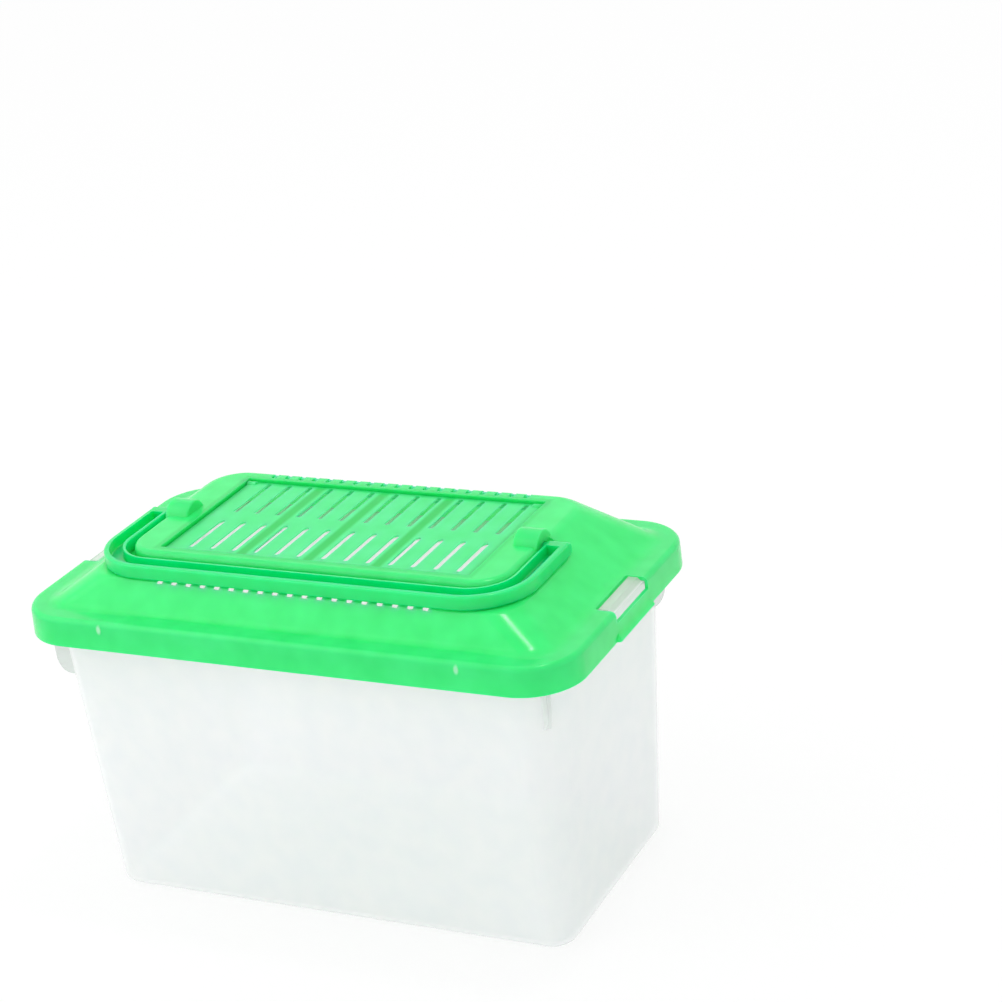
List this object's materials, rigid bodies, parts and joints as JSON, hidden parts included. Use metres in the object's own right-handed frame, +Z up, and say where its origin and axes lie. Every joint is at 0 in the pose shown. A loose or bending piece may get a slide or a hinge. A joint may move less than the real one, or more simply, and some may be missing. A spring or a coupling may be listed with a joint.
{
  "type": "plastic pet keeper",
  "caption": "Tapered clear plastic tub for small pets, with a lift-off vented lid, a slotted feeding hatch and a carrying handle that folds flat on the lid.",
  "frame": {"origin": "centre of the tub's flat base, on the surface that it stands on", "axes": "+X along the long side, +Y towards the side where the hatch hinges (the folded handle lies at -Y), +Z up out of the tub"},
  "size_m": [0.2328, 0.1334, 0.1463],
  "materials": {
    "clear_plastic": "slightly frosted clear",
    "green_plastic": "satin translucent",
    "deep_green_plastic": "satin translucent"
  },
  "bodies": {
    "tub": {"tub": "clear_plastic"},
    "lid": {"lid": "green_plastic"},
    "hatch": {"hatch": "green_plastic"},
    "handle": {"handle": "deep_green_plastic"}
  },
  "joints": [
    {"name": "lid_lift", "type": "slide", "parent": "tub", "child": "lid", "axis": [0, 0, 1], "range_m": [0, 0.06]},
    {"name": "handle_swing", "type": "hinge", "parent": "lid", "child": "handle", "pos_m": [0, 0.003, 0.13925], "axis": [-1, 0, 0], "range_deg": [0, 110]},
    {"name": "hatch_hinge", "type": "hinge", "parent": "lid", "child": "hatch", "pos_m": [0, 0.0358, 0.13995], "axis": [-1, 0, 0], "range_deg": [0, 100]}
  ]
}
